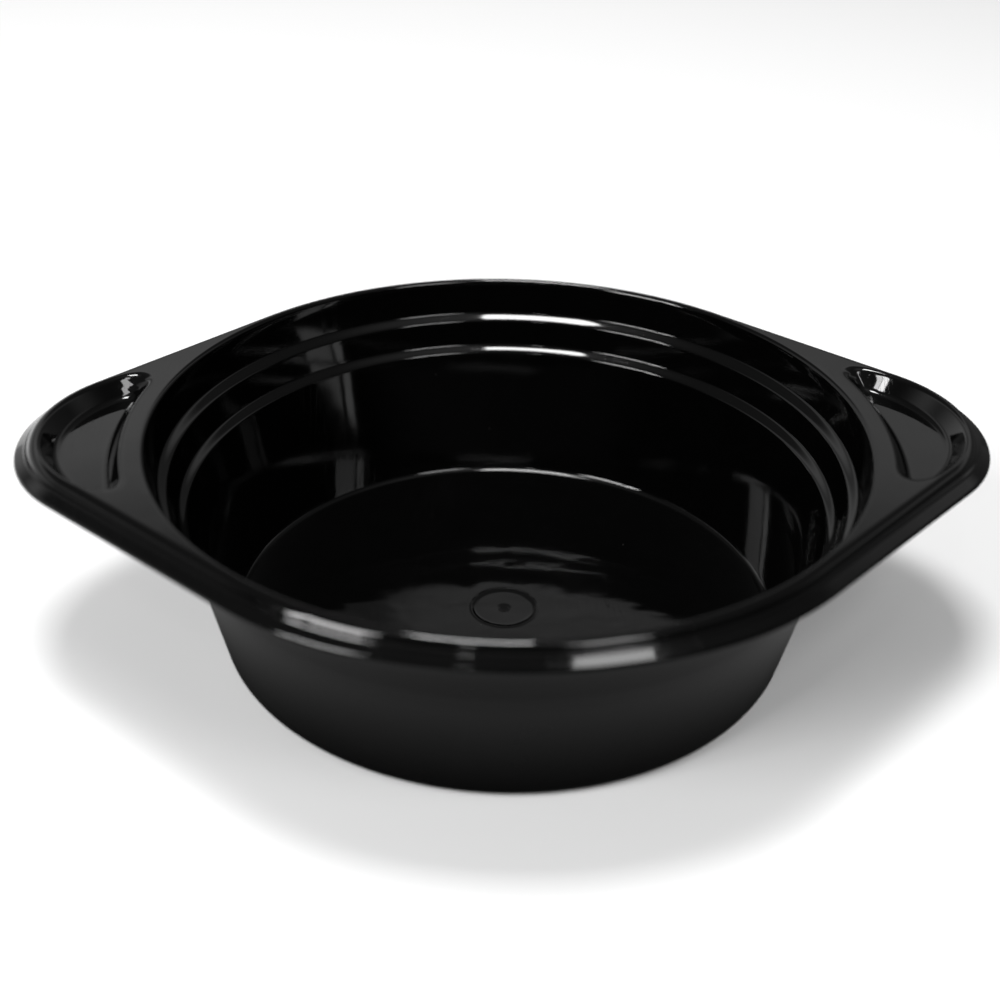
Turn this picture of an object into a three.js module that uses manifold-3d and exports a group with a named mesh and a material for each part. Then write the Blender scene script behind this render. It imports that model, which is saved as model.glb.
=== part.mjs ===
// Salon hair color bowl: one injection-moulded plastic piece.
// A shallow round bowl with two measuring ledges, a turned-down rim with a small lip,
// and two opposite grip lugs, each with a sunk D-shaped thumb rest.
// Millimetres, +Z up. Origin: centre of the underside, on the plane the bowl rests on.
// The lugs lie along X. A "depth" is measured down from the top of the rim.
import * as THREE from "three";
import { mergeVertices } from "three/addons/utils/BufferGeometryUtils.js";
import Module from "manifold-3d";

// ---- opening and rim plate ----
const HEIGHT = 42.2; // resting plane to the top of the rim
const OPENING_R = 65.2; // top of the inner wall, just under the rounded edge
const EDGE_ROUND = 1.0; // radius of the rounded opening edge
const PLATE_T = 1.5; // thickness of the rim and lug plate

// ---- lip and shoulder ----
const LIP_R = 70.4; // lip radius on the two sides without lugs
const LUG_CENTRE_X = 59.6; // centre of each lug's nose arc
const LUG_NOSE_R = 29.0; // radius of each lug's nose arc, at the lip
const LIP_OUT = 2.6; // how far the lip stands out past the foot of the shoulder
const LIP_TOP = 1.7; // depth of the lip's upper face
const LIP_ROUND = 1.5; // radius of the lip's rolled edge
const LIP_T = 1.2; // thickness of the lip, top to hollow
const SKIRT_DEPTH = 3.3; // depth of the lip's lower edge
const SKIRT_T = 1.1; // wall thickness of the rolled edge and of the shoulder
const CREST_W = 2.0; // width of the rim's rounded shoulder
const CREST_H = 1.7; // height of that shoulder

// ---- wall ----
// Inner ledges, lower one first: radius and depth at the bottom and top of each.
const LEDGES = [
  { rLow: 58.7, depthLow: 14.5, rTop: 60.5, depthTop: 12.8 },
  { rLow: 61.7, depthLow: 8.1, rTop: 63.55, depthTop: 6.3 },
];
const LEDGE_STEPS = 4;
// Outside of the wall over both ledges, bottom to top: [radius, depth].
const OUTER_WALL = [
  [58.5, 20.0],
  [59.6, 16.5],
  [61.15, 13.0],
  [62.95, 9.2],
  [64.15, 6.6],
  [65.1, 4.0],
];
const NECK_R = OPENING_R + 0.7; // outside of the wall where it meets the plate
const NECK_TOP_DEPTH = 0.8; // top of the wall's solid, buried in the plate

// ---- floor ----
const WALL_FOOT = { r: 53.2, depth: 38.25 }; // where the inner wall meets the floor fillet
const FLOOR_FILLET = 1.25;
const FLOOR_FILLET_START = -1.1; // radians: angle of the fillet's lower end
const FLOOR_R = 52.3; // edge line of the floor
const FLOOR_Z = 2.5; // height of that edge line
const FLOOR_DISH = 0.95; // fall of the floor from its edge to its centre
const FLOOR_MID_R = 28; // where the floor's slope changes
const FLOOR_MID_FALL = 0.72; // share of the fall reached there
const DIMPLE_R = 6.5; // gate dimple in the middle of the floor
const DIMPLE_IN_R = 4.9;
const DIMPLE_D = 0.35;

// ---- base ----
const BASE_FILLET = 3.4; // outside edge of the base
const BASE_R = 50.8; // outside radius of the flat foot ring
const FOOT_IN_R = 43.6; // inside radius of the flat foot ring
const FOOT_H = 0.5; // how far the middle of the underside is raised

// ---- thumb rests ----
const REST_IN_R = 69.9; // the inner edge is concentric with the bowl
const REST_OUT_R = 23.8; // the outer edge is concentric with the lug's nose
const REST_CORNER = 5.6;
const REST_DEPTH = 3.6;
const REST_FILLET = 1.7; // bottom edge of the thumb rest
const REST_WALL = 1.2; // side wall around the rest
const REST_TOP_DEPTH = 0.7; // top of the rest's cup, buried in the plate

// ---- facets ----
const SEGMENTS = 56; // round the bowl
const ARC_SEGMENTS = 9; // three.js puts twice this many on each outline arc

// ---- cutting allowances, which leave no mark on the bowl ----
const OVERRUN = 3; // how far a cutter runs past the face it opens
const BLANK_H = SKIRT_DEPTH + 4; // straight side of a rim blank before trimming
const TRIM_H = 12; // height of the block that trims the rim's underside
const TRIM_MARGIN = 5; // how far that block stands out past the lip
const SAW_MARGIN = 20; // the same for the block that saws a cup's top

const wasm = await Module();
wasm.setup();

const atDepth = (depth) => HEIGHT - depth;

// A closed three.js geometry as a solid.
function solid(geometry) {
  geometry.deleteAttribute("normal");
  geometry.deleteAttribute("uv");
  const merged = mergeVertices(geometry, 1e-4);
  const made = new wasm.Manifold(
    new wasm.Mesh({
      numProp: 3,
      vertProperties: new Float32Array(merged.attributes.position.array),
      triVerts: new Uint32Array(merged.index.array),
    }),
  );
  if (made.volume() <= 0) throw new Error("a solid is inside out");
  return made;
}

// Solid of revolution about Z. The profile is [radius, height] pairs, from the axis
// at the bottom, out, up, and back to the axis at the top.
function turned(profile) {
  const points = profile.map(([r, z]) => new THREE.Vector2(r, z));
  return solid(new THREE.LatheGeometry(points, SEGMENTS).rotateX(Math.PI / 2));
}

// Prism whose straight side runs from z0 to z1. An edge { width, height, steps } rounds
// both ends, which then stand beyond z0 and z1 by its height.
function prism(shape, z0, z1, edge) {
  const bevel = edge && {
    bevelThickness: edge.height,
    bevelSize: edge.width,
    bevelOffset: -edge.width,
    bevelSegments: edge.steps,
  };
  const geometry = new THREE.ExtrudeGeometry(shape, {
    depth: z1 - z0,
    bevelEnabled: Boolean(edge),
    ...bevel,
    curveSegments: ARC_SEGMENTS,
  });
  return solid(geometry.translate(0, 0, z0));
}

// Profile points of one ledge, bottom to top: steep at both ends, flattest in the middle.
function ledgeProfile({ rLow, depthLow, rTop, depthTop }) {
  const points = [];
  for (let i = 0; i <= LEDGE_STEPS; i++) {
    const t = i / LEDGE_STEPS;
    const eased = t * t * (3 - 2 * t);
    points.push([rLow + (rTop - rLow) * eased, atDepth(depthLow + (depthTop - depthLow) * t)]);
  }
  return points;
}

// Profile points of an arc about the centre (r, z).
function arcProfile({ r, z, radius, from, to, steps }) {
  const points = [];
  for (let i = 0; i <= steps; i++) {
    const angle = from + ((to - from) * i) / steps;
    points.push([r + radius * Math.cos(angle), z + radius * Math.sin(angle)]);
  }
  return points;
}

// Outline of the lip, drawn inwards by an inset: an arc on each side, the two lug noses,
// and the straight tangent edges between them.
function rimOutline(inset) {
  const sideR = LIP_R - inset;
  const noseR = LUG_NOSE_R - inset;
  const tangent = Math.acos((LIP_R - LUG_NOSE_R) / LUG_CENTRE_X);
  const shape = new THREE.Shape();
  shape.absarc(LUG_CENTRE_X, 0, noseR, -tangent, tangent, false);
  shape.absarc(0, 0, sideR, tangent, Math.PI - tangent, false);
  shape.absarc(-LUG_CENTRE_X, 0, noseR, Math.PI - tangent, Math.PI + tangent, false);
  shape.absarc(0, 0, sideR, Math.PI + tangent, 2 * Math.PI - tangent, false);
  shape.closePath();
  return shape;
}

// Outline of the thumb rest on the +X lug, grown outwards by an offset.
function restOutline(offset) {
  // The corner centres lie at these distances from the bowl's axis and the nose centre.
  const fromAxis = REST_IN_R + REST_CORNER;
  const fromNose = REST_OUT_R - REST_CORNER;
  const cornerX = (fromAxis ** 2 - fromNose ** 2 + LUG_CENTRE_X ** 2) / (2 * LUG_CENTRE_X);
  const cornerY = Math.sqrt(fromAxis ** 2 - cornerX ** 2);
  const noseAngle = Math.atan2(cornerY, cornerX - LUG_CENTRE_X);
  const axisAngle = Math.atan2(cornerY, cornerX);
  const cornerR = REST_CORNER + offset;
  const shape = new THREE.Shape();
  shape.absarc(LUG_CENTRE_X, 0, REST_OUT_R + offset, -noseAngle, noseAngle, false);
  shape.absarc(cornerX, cornerY, cornerR, noseAngle, Math.PI + axisAngle, false);
  shape.absarc(0, 0, REST_IN_R - offset, axisAngle, -axisAngle, true);
  shape.absarc(cornerX, -cornerY, cornerR, Math.PI - axisAngle, 2 * Math.PI - noseAngle, false);
  shape.closePath();
  return shape;
}

// The bowl's outside, as a full body.
function bowlOutside() {
  return turned([
    [0, FOOT_H],
    [FOOT_IN_R - FOOT_H, FOOT_H],
    [FOOT_IN_R, 0],
    ...arcProfile({
      r: BASE_R,
      z: BASE_FILLET,
      radius: BASE_FILLET,
      from: -Math.PI / 2,
      to: 0,
      steps: 4,
    }),
    ...OUTER_WALL.map(([r, depth]) => [r, atDepth(depth)]),
    [NECK_R, atDepth(PLATE_T)],
    [NECK_R, atDepth(NECK_TOP_DEPTH)],
    [0, atDepth(NECK_TOP_DEPTH)],
  ]);
}

// The space inside the bowl, opened upwards past the rim.
function bowlCavity() {
  const centreZ = FLOOR_Z - FLOOR_DISH;
  return turned([
    [0, centreZ - DIMPLE_D],
    [DIMPLE_IN_R, centreZ - DIMPLE_D],
    [DIMPLE_R, centreZ],
    [FLOOR_MID_R, FLOOR_Z - FLOOR_DISH * FLOOR_MID_FALL],
    [FLOOR_R, FLOOR_Z],
    ...arcProfile({
      r: WALL_FOOT.r - FLOOR_FILLET,
      z: atDepth(WALL_FOOT.depth),
      radius: FLOOR_FILLET,
      from: FLOOR_FILLET_START,
      to: 0,
      steps: 3,
    }),
    ...LEDGES.flatMap(ledgeProfile),
    ...arcProfile({
      r: OPENING_R + EDGE_ROUND,
      z: atDepth(EDGE_ROUND),
      radius: EDGE_ROUND,
      from: Math.PI,
      to: Math.PI / 2,
      steps: 3,
    }),
    [OPENING_R + EDGE_ROUND, HEIGHT + OVERRUN],
    [0, HEIGHT + OVERRUN],
  ]);
}

// Solid blank under the rim outline, with its upper edge rounded.
function rimBlank(inset, topDepth, edge) {
  const sideTop = atDepth(topDepth) - edge.height;
  return prism(rimOutline(inset), sideTop - BLANK_H, sideTop, edge);
}

// Rim and lug plate: shoulder and lip, trimmed level below and hollowed from underneath.
function rimPlate() {
  const crest = rimBlank(LIP_OUT, 0, { width: CREST_W, height: CREST_H, steps: 4 });
  const lip = rimBlank(0, LIP_TOP, { width: LIP_ROUND, height: LIP_ROUND, steps: 3 });
  const skirtZ = atDepth(SKIRT_DEPTH);
  const trim = prism(rimOutline(-TRIM_MARGIN), skirtZ - TRIM_H, skirtZ);
  const hollow = (inset, depth) => prism(rimOutline(inset), skirtZ - OVERRUN, atDepth(depth));
  return crest
    .add(lip)
    .subtract(trim)
    .subtract(hollow(LIP_OUT + SKIRT_T, PLATE_T))
    .subtract(hollow(SKIRT_T, LIP_TOP + LIP_T));
}

// Thumb rest solid with a rounded bottom edge, sawn off square at z1, on both lugs.
function restPair(offset, z0, z1) {
  const fillet = REST_FILLET + offset;
  const edge = { width: fillet, height: fillet, steps: 2 };
  const blank = prism(restOutline(offset), z0 + fillet, z1 + fillet, edge);
  const saw = prism(rimOutline(-SAW_MARGIN), z1, z1 + 2 * fillet + OVERRUN);
  const rest = blank.subtract(saw);
  return rest.add(rest.rotate([0, 0, 180]));
}

function toGeometry(body) {
  const { vertProperties, triVerts } = body.getMesh();
  const geometry = new THREE.BufferGeometry();
  geometry.setAttribute("position", new THREE.BufferAttribute(vertProperties, 3));
  geometry.setIndex(new THREE.BufferAttribute(triVerts, 1));
  geometry.computeVertexNormals();
  return geometry;
}

// Everything solid is joined first, so the cuts go through all of it.
const body = rimPlate()
  .add(bowlOutside())
  .add(restPair(REST_WALL, atDepth(REST_DEPTH + PLATE_T), atDepth(REST_TOP_DEPTH)))
  .subtract(bowlCavity())
  .subtract(restPair(0, atDepth(REST_DEPTH), HEIGHT + OVERRUN));

const glossyBlack = new THREE.MeshStandardMaterial({
  color: 0x0b0b0c,
  roughness: 0.16,
  metalness: 0,
});

const bowl = new THREE.Mesh(toGeometry(body), glossyBlack);
bowl.name = "bowl";
const group = new THREE.Group();
group.add(bowl);

export default group;
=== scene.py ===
"""A black moulded hair colour bowl with two lugs, standing on a white floor.

The bowl's axis is Z, its foot is at z = 0 and its rim at z = RIM_Z. The lugs, each with a
sunken thumb rest, point along +X and -X. The camera looks from the front, -Y.
The bowl is sized in millimetres and meshed in metres; stage and materials are in metres.
"""
import math

import bpy
import numpy as np
from mathutils import Matrix, Vector


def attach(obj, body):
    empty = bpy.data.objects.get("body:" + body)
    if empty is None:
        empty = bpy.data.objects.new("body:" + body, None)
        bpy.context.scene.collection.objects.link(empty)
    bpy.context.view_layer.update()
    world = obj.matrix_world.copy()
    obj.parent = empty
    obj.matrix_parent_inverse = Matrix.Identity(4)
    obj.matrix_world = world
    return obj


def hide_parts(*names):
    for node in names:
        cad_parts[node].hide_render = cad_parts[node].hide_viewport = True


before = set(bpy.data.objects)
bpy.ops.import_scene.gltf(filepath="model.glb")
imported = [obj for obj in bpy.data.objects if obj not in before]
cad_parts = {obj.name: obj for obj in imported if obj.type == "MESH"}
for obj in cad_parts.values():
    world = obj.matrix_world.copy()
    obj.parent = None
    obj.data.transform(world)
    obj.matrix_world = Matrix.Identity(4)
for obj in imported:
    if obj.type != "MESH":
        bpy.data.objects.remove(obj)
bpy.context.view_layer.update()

scene = bpy.context.scene

# ---------------------------------------------------------------- bowl dimensions, millimetres
MM = 0.001
RIM_Z = 42.2
OPENING_R = 65.2
EDGE_ROUND = 0.8
PLATE_R = OPENING_R + EDGE_ROUND  # where the flat plate round the opening starts
PLATE_T = 1.5
PLATE_ROOT_ROUND = 0.35

# lip outline: a circle, and a smaller nose circle at each lug, joined by tangents
LIP_R, LUG_X, NOSE_R = 70.4, 59.6, 29.0
TANGENT_ANGLE = math.acos((LIP_R - NOSE_R) / LUG_X)
LIP_OUT, LIP_TOP, LIP_T = 2.6, 1.7, 1.2
SKIRT_DEPTH, SKIRT_T = 3.6, 1.1
CREST_IN, CREST_W, CREST_H = 4.34, 2.1, 2.5
DRAWN_IN = 0.9  # how far the edge is drawn in at the front and back

FLOOR_R, FLOOR_Z, FLOOR_DISH, FLOOR_FILLET = 51.8, 2.2, 0.9, 1.25
DIMPLE_R, DIMPLE_IN_R, DIMPLE_DEPTH = 6.5, 5.8, 0.10
FOOT_IN_R, FOOT_H, FOOT_ROUND, BASE_FILLET = 43.6, 0.5, 0.2, 3.4

# thumb rest outline: outside one circle on the axis, inside another round the lug's centre
REST_IN_R, REST_OUT_R, REST_CORNER, REST_DEPTH = 69.9, 23.8, 5.6, 3.6
REST_DRAFT = 34
REST_UNDER_GROWTH = 0.4  # the rest is this much wider on the plate's underside

# (depth below the rim, radius) at the top and bottom of each measuring ledge
LEDGES = [((6.6, 63.6), (8.35, 61.75)), ((12.75, 60.45), (14.5, 58.7))]
# (depth below the rim, radius) down the outer wall
OUTER_LINE = [
    (1.0, 66.0), (4.0, 65.1), (6.6, 64.15), (9.2, 62.95), (13.0, 61.15),
    (16.5, 59.6), (20.0, 58.5), (38.8, 54.2), (42.2, 53.42),
]
# (radius, height above the dimple's floor): small bump in the middle of the dimple
DIMPLE_CENTRE = [
    (0, 0.10), (0.25, 0.10), (0.45, 0.06), (0.6, -0.02), (0.8, -0.05), (1.0, -0.03), (1.25, 0.0),
]
# (radius, height above the dish): raised edge of the dimple
DIMPLE_EDGE = [
    (5.95, -0.055), (6.1, -0.02), (6.25, 0.02), (6.4, 0.03), (6.55, 0.02), (6.7, 0.006),
    (6.85, 0.0),
]
# (radius, height above the recessed underside): shallow recess in its middle
UNDERSIDE_RECESS = [
    (36, 0), (27, 0), (18, 0), (9.5, 0), (8.3, 0), (8.15, 0.03), (8.0, 0.12), (7.85, 0.15),
    (7.6, 0.15), (4.0, 0.15), (0, 0.15),
]
# (degrees from the lug's axis below which it holds, step in degrees) between rays
RAY_STEPS = [(12.0, 0.25), (20.5, 0.2), (26.0, 0.5), (math.inf, 1.0)]


# ---------------------------------------------------------------- profile helpers
def smoothstep(x):
    x = np.clip(x, 0, 1)
    return x * x * (3 - 2 * x)


def sin_deg(angle):
    return math.sin(math.radians(angle))


def cos_deg(angle):
    return math.cos(math.radians(angle))


def arc(centre_r, centre_z, radius, start, end, count, height=None):
    """Points of a circular arc, or of an elliptical one if a height is given; degrees."""
    height = radius if height is None else height
    return [(centre_r + radius * math.cos(a), centre_z + height * math.sin(a))
            for a in np.radians(np.linspace(start, end, count))]


def softened(line, blend):
    """Radius by height for a (depth, radius) line, its corners rounded over a length."""
    depth = np.linspace(-2, RIM_Z + 2, 4621)
    d, r = np.array(line).T
    radius = np.interp(depth, d, r)
    above, below = depth < d[0], depth > d[-1]
    radius[above] = r[0] + (depth[above] - d[0]) * ((r[1] - r[0]) / (d[1] - d[0]))
    radius[below] = r[-1] + (depth[below] - d[-1]) * ((r[-1] - r[-2]) / (d[-1] - d[-2]))
    width = max(3, int(blend / (depth[1] - depth[0])) | 1)
    kernel = np.hanning(width + 2)[1:-1]
    kernel /= kernel.sum()
    pad = width // 2
    extended = np.concatenate([
        radius[0] + np.arange(-pad, 0) * (radius[1] - radius[0]),
        radius,
        radius[-1] + np.arange(1, pad + 1) * (radius[-1] - radius[-2]),
    ])
    smooth = np.convolve(extended, kernel, "valid")
    return lambda z: np.interp(RIM_Z - z, depth, smooth)


def draft_at(wall, z):
    """Draft of a wall at a height, degrees off vertical."""
    return math.degrees(math.atan(float(wall(z + 0.05) - wall(z - 0.05)) / 0.1))


def inner_wall_line():
    """(depth, radius) down the inner wall: drafted faces and smoothly stepped ledges."""
    line = [(0.0, 65.49)]
    for (top, top_r), (bottom, bottom_r) in LEDGES:
        for k in range(17):
            u = k / 16
            line.append((top + (bottom - top) * u, top_r + (bottom_r - top_r) * smoothstep(u)))
    return line + [(38.5, 52.6), (42.0, 51.72)]


inner_wall = softened(inner_wall_line(), blend=0.3)
outer_wall = softened(OUTER_LINE, blend=4.5)


# ---------------------------------------------------------------- sections, (radius, height)
def dish(r):
    """Height of the dished floor."""
    return FLOOR_Z - FLOOR_DISH * (1 - (r / FLOOR_R) ** 2)


def inner_section():
    """Inside of the bowl, from the middle of the floor up to the plate."""
    edge_z = dish(DIMPLE_R)
    dimple_z = edge_z - DIMPLE_DEPTH
    points = [(r, dimple_z + rise) for r, rise in DIMPLE_CENTRE]
    points += [(r, dimple_z + 0.02 * (r / DIMPLE_IN_R) ** 2)
               for r in np.linspace(1.7, DIMPLE_IN_R, 8)]
    points += [(r, edge_z + rise) for r, rise in DIMPLE_EDGE]
    points += [(r, dish(r)) for r in np.linspace(7.2, 49.9, 26)]

    draft = draft_at(inner_wall, FLOOR_Z + 1.2)
    wall_foot_r = float(inner_wall(FLOOR_Z + FLOOR_FILLET * (1 - sin_deg(draft))))
    centre = wall_foot_r - FLOOR_FILLET * cos_deg(draft)
    points += [(centre - 0.4, dish(centre - 0.4)), (centre - 0.08, FLOOR_Z - 0.004)]
    points += arc(centre, FLOOR_Z + FLOOR_FILLET, FLOOR_FILLET, -90, -draft, 10)

    wall_z = points[-1][1]
    heights = np.concatenate([
        wall_z + np.array([0.1, 0.6]),
        np.linspace(wall_z + 2.0, RIM_Z - 16.2, 9),
        np.linspace(RIM_Z - 15.1, RIM_Z - 12.2, 36),  # lower ledge
        np.linspace(RIM_Z - 11.8, RIM_Z - 9.4, 4),
        np.linspace(RIM_Z - 8.9, RIM_Z - 6.1, 36),  # upper ledge
        np.linspace(RIM_Z - 5.5, RIM_Z - EDGE_ROUND - 0.4, 4),
    ])
    points += zip(inner_wall(heights), heights)
    top_draft = draft_at(inner_wall, RIM_Z - 1.0)
    points += arc(PLATE_R, RIM_Z - EDGE_ROUND, EDGE_ROUND, 180 - top_draft, 90, 13)
    return np.array(points)


def outer_section():
    """Outside of the bowl, from the plate's underside to the middle of the underside."""
    plate_z = RIM_Z - PLATE_T
    root_z = plate_z - PLATE_ROOT_ROUND
    root_draft = draft_at(outer_wall, plate_z - 0.3)
    points = arc(float(outer_wall(root_z)) + PLATE_ROOT_ROUND, root_z, PLATE_ROOT_ROUND,
                 90, 180 - root_draft, 6)
    heights = np.concatenate([
        np.linspace(root_z - 0.3, RIM_Z - 5.5, 6),
        np.linspace(RIM_Z - 6.2, RIM_Z - 19.5, 34),
        np.linspace(RIM_Z - 21.0, BASE_FILLET + 1.2, 9),
    ])
    points += zip(outer_wall(heights), heights)

    draft = draft_at(outer_wall, 3.6)
    fillet_top = BASE_FILLET * (1 - sin_deg(draft))
    centre = float(outer_wall(fillet_top)) - BASE_FILLET * cos_deg(draft)
    points += [(float(outer_wall(fillet_top + 0.3)), fillet_top + 0.3)]
    points += arc(centre, BASE_FILLET, BASE_FILLET, -draft, -90, 16)

    # foot ring, and the step up to the recessed underside
    points += [(centre - 0.15, 0), (centre - 3, 0), (FOOT_IN_R + 0.5, 0), (FOOT_IN_R + 0.34, 0)]
    points += arc(FOOT_IN_R + 0.3, FOOT_ROUND, FOOT_ROUND, -90, -170, 5)[1:]
    points += [(FOOT_IN_R, 0.32), (FOOT_IN_R - 0.12, 0.44)]
    points += [(FOOT_IN_R - 0.3, FOOT_H), (FOOT_IN_R - 0.6, FOOT_H)]
    points += [(r, FOOT_H + rise) for r, rise in UNDERSIDE_RECESS]
    return np.array(points)


def roll(offset, level, radius, start, end, count):
    """A convex roll that starts at a point and turns from one face angle to another."""
    return arc(offset + radius * cos_deg(start), level - radius * sin_deg(start), radius,
               180 - start, 180 - end, count)


def rim_section():
    """Rim edge as (distance inside the lip outline, height), and the count of top points."""
    # levels are measured from the rim, and are negative below it
    top = arc(CREST_IN, -CREST_H, CREST_W, 90, 146, 15, height=CREST_H)
    top += [(2.56, -1.17), (2.51, -1.23), (2.44, -1.28), (2.22, -1.40)]
    top += roll(2.05, -1.49, 0.45, 56, 34, 6)
    top += [(1.87, -1.69), (1.81, -1.75), (1.74, -1.80), (1.42, -2.033), (0.80, -2.485)]
    top += roll(0.35, -2.795, 0.85, 54, 0, 13)

    skirt_foot = -SKIRT_DEPTH
    lip_under = -LIP_TOP - LIP_T
    step = LIP_OUT + SKIRT_T  # offset of the step from the lip up to the plate
    under = [
        (0.02, skirt_foot + 0.05), (0.07, skirt_foot + 0.015), (0.15, skirt_foot),
        (SKIRT_T - 0.25, skirt_foot), (SKIRT_T - 0.10, skirt_foot + 0.03),
        (SKIRT_T, skirt_foot + 0.12), (SKIRT_T, lip_under - 0.10),
        (SKIRT_T + 0.03, lip_under - 0.03), (SKIRT_T + 0.1, lip_under),
        (step - 0.35, lip_under), (step - 0.12, lip_under + 0.04),
        (step, lip_under + 0.18), (step, -PLATE_T - 0.3),
    ]
    under += arc(step + 0.3, -PLATE_T - 0.3, 0.3, 150, 90, 4)
    return np.array(top + under) + np.array([0.0, RIM_Z]), len(top)


# ---------------------------------------------------------------- lip outline and thumb rests
def from_lug_axis(theta):
    """Angle from the nearer lug's axis, 0 to pi / 2."""
    angle = np.abs((theta + math.pi) % (2 * math.pi) - math.pi)
    return np.minimum(angle, math.pi - angle)


def outline_radius(theta, offset):
    """Distance from the axis to the lip outline, drawn in by offset, along each ray."""
    angle = from_lug_axis(theta)
    lip, nose = LIP_R - offset, NOSE_R - offset
    nose_end = math.atan2(nose * math.sin(TANGENT_ANGLE), LUG_X + nose * math.cos(TANGENT_ANGLE))
    chord = np.sqrt(np.maximum(nose * nose - (LUG_X * np.sin(angle)) ** 2, 0))
    on_nose = LUG_X * np.cos(angle) + chord
    on_tangent = lip / np.cos(np.minimum(np.abs(angle - TANGENT_ANGLE), 1.2))
    return np.where(angle >= TANGENT_ANGLE, lip, np.where(angle >= nose_end, on_tangent, on_nose))


def rest_distance(r, angle):
    """Signed distance to the thumb rest outline, negative inside; angle from the lug's axis."""
    x, y = r * np.cos(angle), r * np.sin(angle)
    u = REST_IN_R - r + REST_CORNER
    v = np.hypot(x - LUG_X, y) - REST_OUT_R + REST_CORNER
    return np.hypot(np.maximum(u, 0), np.maximum(v, 0)) + np.minimum(np.maximum(u, v), 0) - REST_CORNER


def rest_side(top_round, foot_round, top_count, foot_count):
    """Side of the thumb rest: (signed distance from its outline, level on the plate)."""
    points = arc(top_round, -top_round, top_round, 90, 180 - REST_DRAFT, top_count)
    d0, z0 = points[-1]
    z1 = -REST_DEPTH + foot_round * (1 - sin_deg(REST_DRAFT))
    d1 = d0 - (z0 - z1) * math.tan(math.radians(REST_DRAFT))
    points += [(d0 + (d1 - d0) * k, z0 + (z1 - z0) * k) for k in (0.08, 0.5, 0.92)]
    points += arc(d1 - foot_round * cos_deg(REST_DRAFT), -REST_DEPTH + foot_round, foot_round,
                  -REST_DRAFT, -90, foot_count)
    return np.array(points)


def plate_rows(theta, side, inner_r, outer_r, margin, floor_count):
    """Radii along each ray, and levels, over a plate with the thumb rests sunk in it."""
    angle = from_lug_axis(theta)[:, None]
    stations = side[:, 0]
    span = (outer_r - inner_r)[:, None]
    grid = inner_r + span * np.linspace(0, 1, 900)
    margin_steps = np.linspace(0, 1, margin + 1)
    rows = []
    for ray, distance, ray_end in zip(grid, rest_distance(grid, angle), outer_r):
        deepest = int(np.argmin(distance))
        near = np.interp(stations, distance[:deepest + 1][::-1], ray[:deepest + 1][::-1])
        far = np.interp(stations, distance[deepest:], ray[deepest:])
        unreached = stations < distance[deepest]
        near[unreached] = ray[deepest]
        far[unreached] = ray[deepest]
        far = far[::-1]
        rows.append(np.concatenate([
            inner_r + (near[0] - inner_r) * margin_steps[:-1],
            near,
            np.linspace(near[-1], far[0], floor_count + 2)[1:-1],
            far,
            far[-1] + (ray_end - far[-1]) * margin_steps[1:],
        ]))
    rows = np.array(rows)

    # away from the lug the rows turn evenly spaced
    count = rows.shape[1]
    even = inner_r + span * np.linspace(0, 1, count)
    mix = smoothstep((angle - math.radians(19.5)) / math.radians(10))
    rows = rows * (1 - mix) + even * mix
    # keep a small gap between neighbouring rows, then pull the last row back to the edge
    gap = np.minimum(0.02, span / count * 0.5)
    index = np.arange(count)
    rows = np.maximum.accumulate(rows - gap * index, axis=1) + gap * index
    rows = rows - (rows[:, -1:] - outer_r[:, None]) * (index / (count - 1)) ** 4

    order = np.argsort(stations)
    return rows, np.interp(rest_distance(rows, angle), stations[order], side[order, 1])


# ---------------------------------------------------------------- bowl mesh
def ray_angles():
    """Angles of the rays round the axis, closer together round each lug."""
    angles = []
    angle = -180.0
    while angle < 180.0 - 1e-9:
        angles.append(angle)
        off_lug = min(abs(angle), abs(abs(angle) - 180.0))
        angle += next(step for limit, step in RAY_STEPS if off_lug < limit)
    return np.radians(np.array(angles))


def bowl_rings(theta):
    """Rings of the skin from the inside out, each (radius, height, 1 on the outside)."""
    inner, outer = inner_section(), outer_section()
    rim, top_count = rim_section()
    edge = np.stack([outline_radius(theta, offset) for offset in rim[:, 0]], axis=1)
    off_y_axis = 90 - np.degrees(from_lug_axis(theta))
    drawn = DRAWN_IN * (1 - smoothstep((off_y_axis - 8) / 26))
    edge -= drawn[:, None] * np.clip(1 - rim[:, 0] / CREST_IN, 0, 1)

    top_side = rest_side(top_round=1.1, foot_round=1.5, top_count=9, foot_count=11)
    under_side = rest_side(top_round=0.7, foot_round=2.2, top_count=6, foot_count=9)
    under_side[:, 0] += REST_UNDER_GROWTH
    top_r, top_level = plate_rows(theta, top_side, PLATE_R, edge[:, 0],
                                  margin=4, floor_count=7)
    under_r, under_level = plate_rows(theta, under_side, outer[0, 0], edge[:, -1],
                                      margin=3, floor_count=6)

    rings = [(r, z, 0.0) for r, z in inner[1:]]
    rings += [(r, RIM_Z + level, 0.0) for r, level in zip(top_r.T[1:], top_level.T[1:])]
    rings += [(edge[:, j], rim[j, 1], float(j >= top_count + 3)) for j in range(1, len(rim))]
    rings += [(under_r[:, j], RIM_Z - PLATE_T + under_level[:, j], 1.0)
              for j in reversed(range(under_r.shape[1] - 1))]
    rings += [(r, z, 1.0) for r, z in outer[1:-1]]
    return rings, inner[0, 1], outer[-1, 1]


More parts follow.
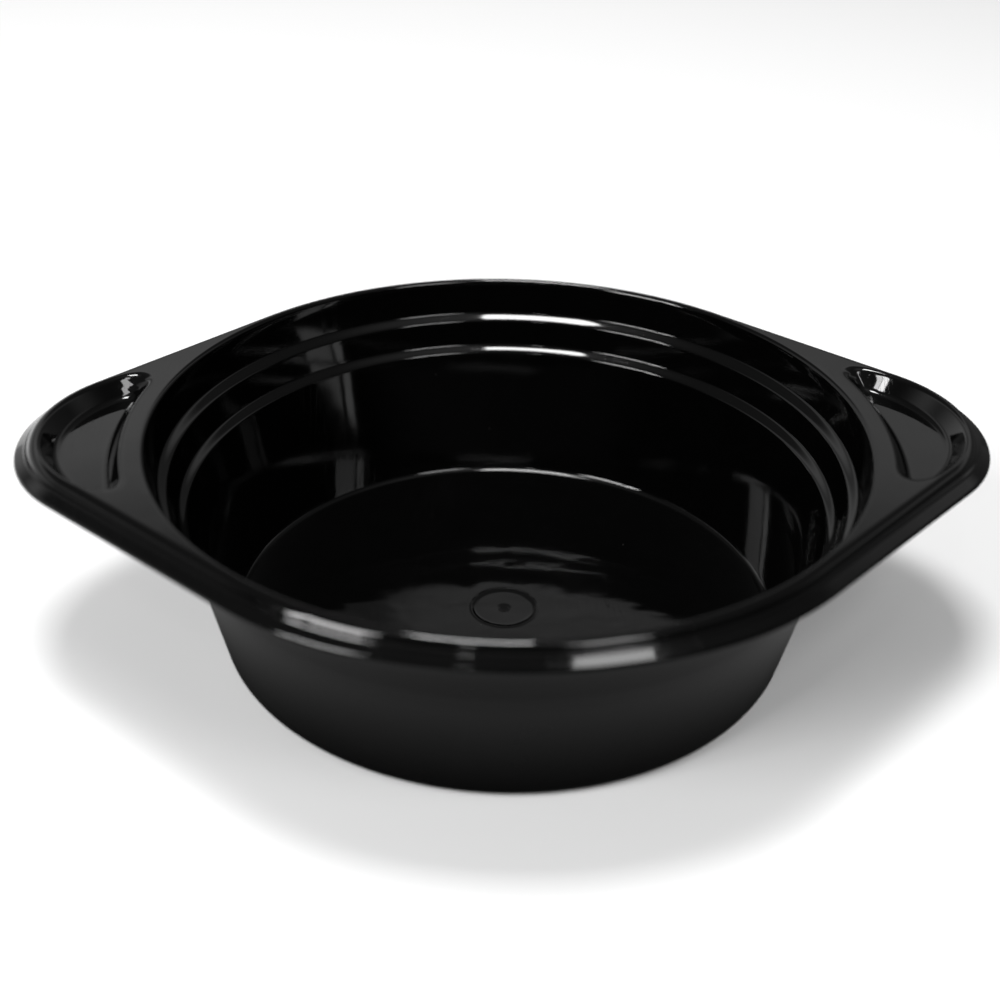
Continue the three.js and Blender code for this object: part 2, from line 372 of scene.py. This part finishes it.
def bowl_mesh():
    theta = ray_angles()
    rings, top_centre_z, low_centre_z = bowl_rings(theta)
    ray_count, ring_count = len(theta), len(rings)
    radius = np.array([np.broadcast_to(r, ray_count) for r, _, _ in rings])
    height = np.array([np.broadcast_to(z, ray_count) for _, z, _ in rings])
    points = np.stack([radius * np.cos(theta), radius * np.sin(theta), height], axis=2)
    centres = [[0, 0, top_centre_z], [0, 0, low_centre_z]]
    points = np.vstack([points.reshape(-1, 3), centres]) * MM
    top_centre, low_centre = len(points) - 2, len(points) - 1

    start = np.arange(ring_count - 1)[:, None] * ray_count
    ray = np.arange(ray_count)
    following = (ray + 1) % ray_count
    quads = np.stack([start + ray, start + ray_count + ray,
                      start + ray_count + following, start + following], axis=2)
    last = (ring_count - 1) * ray_count
    top_fan = np.stack([np.full(ray_count, top_centre), ray, following], axis=1)
    low_fan = np.stack([np.full(ray_count, low_centre), last + following, last + ray], axis=1)
    corners = np.concatenate([quads.ravel(), top_fan.ravel(), low_fan.ravel()])
    quad_count, triangle_count = quads.size // 4, 2 * ray_count
    starts = np.concatenate([np.arange(quad_count) * 4,
                             quad_count * 4 + np.arange(triangle_count) * 3])

    mesh = bpy.data.meshes.new("hair_color_bowl")
    mesh.vertices.add(len(points))
    mesh.vertices.foreach_set("co", points.astype(np.float32).ravel())
    mesh.loops.add(len(corners))
    mesh.loops.foreach_set("vertex_index", corners.astype(np.int32))
    mesh.polygons.add(len(starts))
    mesh.polygons.foreach_set("loop_start", starts.astype(np.int32))
    mesh.polygons.foreach_set("use_smooth", np.ones(len(starts), bool))
    mesh.update(calc_edges=True)
    mesh.validate()
    outside = np.repeat([flag for _, _, flag in rings], ray_count)
    attribute = mesh.attributes.new("outside", "FLOAT", "POINT")
    attribute.data.foreach_set("value", np.append(outside, [0.0, 1.0]).astype(np.float32))
    return mesh


# ---------------------------------------------------------------- shader helpers
class Nodes:
    """Adds nodes to a shader tree. An input is a plain value or another node's output."""

    def __init__(self, tree):
        self.tree = tree

    def put(self, socket, value):
        if isinstance(value, bpy.types.NodeSocket):
            self.tree.links.new(value, socket)
        else:
            socket.default_value = value

    def add(self, kind, inputs=None, **settings):
        node = self.tree.nodes.new("ShaderNode" + kind)
        for name, value in settings.items():
            setattr(node, name, value)
        for key, value in (inputs or {}).items():
            self.put(node.inputs[key], value)
        return node

    def math(self, operation, *values, clamp=False):
        inputs = dict(enumerate(values))
        return self.add("Math", inputs, operation=operation, use_clamp=clamp).outputs[0]

    def times(self, a, b):
        return self.math("MULTIPLY", a, b)

    def scaled(self, value, by, plus, clamp=False):
        return self.math("MULTIPLY_ADD", value, by, plus, clamp=clamp)

    def fade(self, value, start, end, low=0.0, high=1.0, kind="SMOOTHSTEP"):
        """Goes from low to high as the value goes from start to end."""
        inputs = {"Value": value, "From Min": start, "From Max": end,
                  "To Min": low, "To Max": high}
        return self.add("MapRange", inputs, interpolation_type=kind).outputs["Result"]

    def noise(self, vector, scale, detail=2.0, roughness=0.5, distortion=0.0):
        return self.add("TexNoise", {
            "Scale": scale, "Detail": detail, "Roughness": roughness,
            "Distortion": distortion, "Vector": vector,
        }).outputs["Fac"]

    def mapping(self, vector, scale, rotation, location=(0, 0, 0)):
        return self.add("Mapping", {
            "Vector": vector, "Scale": scale, "Rotation": rotation, "Location": location,
        }).outputs["Vector"]

    def mix(self, factor, a, b, kind="FLOAT"):
        inputs = {"Factor": factor, "A": a, "B": b}
        return self.add("Mix", inputs, data_type=kind).outputs["Result"]

    def coordinates(self, kind):
        """A texture coordinate, then its x, y and z."""
        vector = self.add("TexCoord").outputs[kind]
        return (vector, *self.add("SeparateXYZ", {0: vector}).outputs)

    def length(self, x, y):
        return self.math("SQRT", self.math("ADD", self.times(x, x), self.times(y, y)))


# ---------------------------------------------------------------- black moulded plastic
# (rotation, scale along local x, level where a line starts, level where a patch starts, offset)
HAIRLINES = [
    ((0.0, 0.0, 0.5), 900.0, 0.985, 0.53, (0.1, 0.2, 0.0)),
    ((0.0, 0.0, -0.9), 1200.0, 0.988, 0.56, (0.7, 0.4, 0.2)),
    ((0.3, 0.0, 1.9), 700.0, 0.99, 0.58, (0.3, 0.9, 0.6)),
]


def hairlines(n, position, rotation, scale, line_start, patch_start, offset):
    """Thin lines where a stretched noise crosses its middle value, kept in patches."""
    stretched = n.mapping(position, (scale, 26.0, 26.0), rotation, offset)
    line = n.noise(stretched, scale=1.0, detail=0.0, distortion=0.35)
    line = n.math("ABSOLUTE", n.math("SUBTRACT", n.times(line, 2.0), 1.0))
    line = n.math("SUBTRACT", 1.0, line, clamp=True)
    line = n.fade(line, start=line_start, end=1.0)
    patch = n.noise(n.mapping(position, (60, 60, 60), rotation, offset), scale=1.0, detail=1.0)
    return n.times(line, n.fade(patch, start=patch_start, end=patch_start + 0.08))


def dust(n, position, smudge):
    """Sparse round specks, fewer where the smudge noise is low."""
    cells = n.add("TexVoronoi", {"Scale": 420.0, "Vector": position})
    pick = n.add("SeparateColor", {0: cells.outputs["Color"]})
    few = n.fade(pick.outputs[0], start=0.955, end=0.965)
    size = n.scaled(pick.outputs[1], by=0.050, plus=0.012)
    speck = n.times(few, n.math("LESS_THAN", cells.outputs["Distance"], size))
    return n.times(speck, n.fade(smudge, start=0.42, end=0.60, low=0.15))


def plastic():
    material = bpy.data.materials.new("bowl_plastic")
    material.use_nodes = True
    material.node_tree.nodes.clear()
    n = Nodes(material.node_tree)
    output = n.add("OutputMaterial")
    surface = n.add("BsdfPrincipled", {"IOR": 1.50})
    n.put(output.inputs["Surface"], surface.outputs[0])
    position, x, y, z = n.coordinates("Object")
    radius = n.length(x, y)
    outside = n.add("Attribute", attribute_name="outside").outputs["Fac"]

    smudge = n.noise(position, scale=38.0, detail=3.0, roughness=0.55, distortion=0.6)
    cloud = n.noise(position, scale=150.0, detail=4.0, roughness=0.6)
    grain = n.noise(position, scale=2600.0, roughness=0.6)
    speck = dust(n, position, smudge)
    marks = [hairlines(n, position, *row) for row in HAIRLINES]
    marks = n.math("MAXIMUM", n.math("MAXIMUM", marks[0], marks[1]), marks[2])

    # near black, clouded, with grey specks
    black = n.mix(cloud, (0.0005, 0.0005, 0.0005, 1), (0.0011, 0.0011, 0.0011, 1), kind="RGBA")
    colour = n.mix(speck, black, (0.055, 0.054, 0.052, 1), kind="RGBA")
    n.put(surface.inputs["Base Color"], colour)

    # polished inside, less so on the outside of the wall and the underside
    rough_inside = n.scaled(n.fade(smudge, start=0.48, end=0.66), by=0.025, plus=0.035)
    rough_inside = n.scaled(cloud, by=0.025, plus=rough_inside)
    rough_outside = n.scaled(cloud, by=0.10, plus=0.24)
    rough = n.mix(outside, rough_inside, rough_outside)
    rough = n.scaled(speck, by=0.45, plus=rough)
    rough = n.scaled(marks, by=0.10, plus=rough, clamp=True)
    n.put(surface.inputs["Roughness"], rough)

    # relief, in metres: slow waviness of the moulding
    fine_wave = n.times(n.noise(position, scale=210.0, detail=1.0), 0.10)
    wave = n.scaled(n.noise(position, scale=55.0, detail=1.0), by=1.0, plus=fine_wave)
    height = n.times(wave, 0.000060)
    # the floor of the bowl is pulled slightly uneven where the plastic shrank
    on_floor = n.times(n.fade(z, start=0.0040, end=0.0028), n.fade(z, start=0.0008, end=0.0012))
    on_floor = n.times(on_floor, n.fade(radius, start=0.048, end=0.040))
    stretched = n.mapping(position, scale=(105, 150, 105), rotation=(0, 0, 0.3))
    ripple = n.noise(stretched, scale=1.0, detail=1.0, roughness=0.4, distortion=0.5)
    height = n.scaled(n.times(ripple, on_floor), by=0.000055, plus=height)
    # scratches, grain on the outside and specks
    height = n.scaled(marks, by=-0.0000012, plus=height)
    height = n.scaled(n.times(grain, outside), by=0.000006, plus=height)
    height = n.scaled(speck, by=0.00001, plus=height)
    bump = n.add("Bump", {"Strength": 1.0, "Distance": 1.0, "Height": height})
    n.put(surface.inputs["Normal"], bump.outputs[0])
    return material


def build_bowl():
    mesh = bowl_mesh()
    bowl = bpy.data.objects.new("hair_color_bowl", mesh)
    scene.collection.objects.link(bowl)
    normals = bowl.modifiers.new("even_normals", "WEIGHTED_NORMAL")
    normals.mode = "FACE_AREA"
    normals.weight = 60
    normals.keep_sharp = False
    mesh.materials.append(plastic())
    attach(bowl, "root")
    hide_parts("bowl")


# ---------------------------------------------------------------- camera
CAMERA_ELEVATION, CAMERA_ROLL = math.radians(31.344), math.radians(1.386)
CAMERA_TURN = math.radians(4.1378)  # about Z, towards -X; the lights turn with the camera
CAMERA_DISTANCE = 0.28206  # along the view to the middle of the rim
# where the middle of the rim lies off the view axis, as fractions of the distance
RIM_RIGHT, RIM_DOWN = 0.0058341, -0.04921


def build_camera():
    forward = Vector((0, math.cos(CAMERA_ELEVATION), -math.sin(CAMERA_ELEVATION)))
    right = Vector((1, 0, 0))
    down = forward.cross(right)
    c, s = math.cos(CAMERA_ROLL), math.sin(CAMERA_ROLL)
    right, down = right * c - down * s, right * s + down * c
    eye = -(right * RIM_RIGHT + down * RIM_DOWN + forward) * CAMERA_DISTANCE
    turn = Matrix.Rotation(-CAMERA_TURN, 3, "Z")
    right, down, forward, eye = (turn @ v for v in (right, down, forward, eye))

    data = bpy.data.cameras.new("camera")
    data.lens = 55.77
    data.sensor_width = 36.0
    data.clip_start = 0.01
    data.clip_end = 100
    # the near rim falls a little out of focus
    data.dof.use_dof = True
    data.dof.focus_distance = 0.307
    data.dof.aperture_fstop = 11.2
    camera = bpy.data.objects.new("camera", data)
    scene.collection.objects.link(camera)
    rotation = Matrix((right, -down, -forward)).transposed()
    camera.matrix_world = Matrix.Translation(eye + Vector((0, 0, RIM_Z * MM))) @ rotation.to_4x4()
    scene.camera = camera


# ---------------------------------------------------------------- floor
FLOOR_HALF = 6.0
FLOOR_DROP = 0.00005  # keeps the floor just clear of the foot


def painted_floor_glow(n, x, y):
    """Painted glow of the floor, seen only in reflections, with painted shade under the wall, in front
    and at the right.
    """
    radius = n.length(x, y)
    rise = n.math("POWER", n.fade(radius, start=0.054, end=0.082, kind="LINEAR"), 1.4)
    rise = n.scaled(rise, by=0.62, plus=0.03)
    wide = n.scaled(n.fade(radius, start=0.088, end=0.125), by=0.8, plus=1.0)
    left = n.fade(n.math("DIVIDE", x, radius), start=0.10, end=-0.50)
    front = n.scaled(left, by=0.26, plus=n.math("DIVIDE", y, radius))
    front = n.fade(front, start=0.10, end=-0.38)
    front = n.times(front, n.scaled(left, by=-0.22, plus=0.97))
    front = n.times(front, n.fade(radius, start=0.090, end=0.125))
    right = n.fade(n.math("DIVIDE", x, radius), start=0.30, end=0.60, high=0.95)
    right = n.times(right, n.fade(radius, start=0.104, end=0.124))
    # painted shade in the floor's reflected glow: in front and at the right
    shade = n.math("MAXIMUM", front, right)
    return n.times(n.times(rise, wide), n.math("SUBTRACT", 1.0, shade))


def floor_white():
    material = bpy.data.materials.new("floor_white")
    material.use_nodes = True
    tree = material.node_tree
    n = Nodes(tree)
    surface = tree.nodes["Principled BSDF"]
    position, x, y, _ = n.coordinates("Object")
    white = n.mix(n.noise(position, scale=3.0, detail=3.0),
                  (0.87, 0.87, 0.87, 1), (0.89, 0.89, 0.89, 1), kind="RGBA")
    path = n.add("LightPath").outputs
    glossy = path["Is Glossy Ray"]
    # reflections see only the painted glow with its painted shade; the camera sees the white lifted a
    # little
    glow = n.times(painted_floor_glow(n, x, y), glossy)
    for name, value in {
        "Base Color": n.mix(glossy, white, (0.0, 0.0, 0.0, 1), kind="RGBA"),
        "Emission Color": (1, 1, 1, 1),
        "Emission Strength": n.scaled(path["Is Camera Ray"], by=0.14, plus=glow),
        "Roughness": 0.9,
        "Specular IOR Level": 0.0,
    }.items():
        n.put(surface.inputs[name], value)
    # clear from below, so that the underside can be looked at
    below = n.add("MixShader", {
        0: n.add("NewGeometry").outputs["Backfacing"],
        1: surface.outputs["BSDF"],
        2: n.add("BsdfTransparent").outputs["BSDF"],
    })
    n.put(tree.nodes["Material Output"].inputs["Surface"], below.outputs[0])
    return material


def build_floor():
    mesh = bpy.data.meshes.new("floor")
    corners = [(x * FLOOR_HALF, y * FLOOR_HALF, 0) for x, y in ((-1, -1), (1, -1), (1, 1), (-1, 1))]
    mesh.from_pydata(corners, [], [(0, 1, 2, 3)])
    mesh.materials.append(floor_white())
    floor = bpy.data.objects.new("floor", mesh)
    floor.location = (0, 0, -FLOOR_DROP)
    scene.collection.objects.link(floor)


# ---------------------------------------------------------------- lights
LIGHT_AIM = Vector((0, 0, 0.03))
LIGHT_DISTANCE = 1.2
# name, azimuth from the camera's side (positive to its right), elevation, width, height, power
SOFTBOXES = [
    ("front_right", 36.5, 52, 0.31, 0.36, 7.5),
    ("front_left", -45.2, 33, 0.315, 0.46, 15),
    ("front_left_narrow", -59.0, 33, 0.10, 0.46, 22),
    ("front_small", -12, 50, 0.07, 0.07, 16),
]


def area_light(name, width, height, power):
    """A rectangular light; its energy is the power times pi times its area."""
    light = bpy.data.lights.new(name, "AREA")
    light.shape = "RECTANGLE"
    light.size, light.size_y = width, height
    light.energy = power * width * height * math.pi
    lamp = bpy.data.objects.new(name, light)
    scene.collection.objects.link(lamp)
    return lamp


def build_lights():
    for name, azimuth, elevation, width, height, power in SOFTBOXES:
        a, e = math.radians(azimuth) - CAMERA_TURN, math.radians(elevation)
        away = Vector((math.sin(a) * math.cos(e), -math.cos(a) * math.cos(e), math.sin(e)))
        lamp = area_light(name, width, height, power)
        lamp.location = LIGHT_AIM + away * LIGHT_DISTANCE
        lamp.rotation_euler = away.to_track_quat("Z", "Y").to_euler()
    overhead = area_light("overhead", width=0.345, height=0.34, power=26)
    place = Matrix.Translation((-0.085, 0.10, 1.28))
    overhead.matrix_world = Matrix.Rotation(-CAMERA_TURN, 4, "Z") @ place


def build_world():
    world = bpy.data.worlds.new("studio")
    scene.world = world
    world.use_nodes = True
    world.node_tree.nodes.clear()
    n = Nodes(world.node_tree)
    output = n.add("OutputWorld")
    background = n.add("Background", {"Color": (1, 1, 1, 1)})
    n.put(output.inputs["Surface"], background.outputs[0])
    _, x, y, z = n.coordinates("Generated")
    elevation = n.times(n.math("ARCSINE", z), 180 / math.pi)
    behind = n.fade(y, start=-0.30, end=0.45)
    left = n.fade(x, start=0.35, end=-0.45)

    # a bright band behind the bowl, brighter to the left
    band = n.times(n.fade(elevation, start=19.0, end=28.0),
                   n.fade(elevation, start=27.5, end=36.0, low=1.0, high=0.0))
    band = n.times(band, n.scaled(left, by=0.20, plus=0.33))
    # below the band, light at the left
    low = n.scaled(n.times(left, n.fade(elevation, start=26.0, end=8.0)), by=0.45, plus=0.10)
    # a small patch above the band, just right of the middle
    patch = n.times(n.fade(elevation, start=29.0, end=31.5),
                    n.fade(elevation, start=36.0, end=39.0, low=1.0, high=0.0))
    off_patch = n.math("ABSOLUTE", n.math("SUBTRACT", x, 0.09))
    patch = n.times(patch, n.fade(off_patch, start=0.06, end=0.095, low=0.20, high=0.0))
    ceiling = n.fade(elevation, start=58.0, end=84.0, high=0.30)
    back = n.math("ADD", n.math("ADD", n.math("ADD", band, low), patch), ceiling)
    front = n.fade(elevation, start=10.0, end=60.0, low=0.006, high=0.12)
    front = n.math("ADD", front, ceiling)
    n.put(background.inputs["Strength"], n.mix(behind, front, back))


build_bowl()
build_camera()
build_floor()
build_lights()
build_world()

scene.view_settings.view_transform = "Standard"
scene.view_settings.look = "None"
scene.view_settings.exposure = 0.0
scene.view_settings.gamma = 1.0
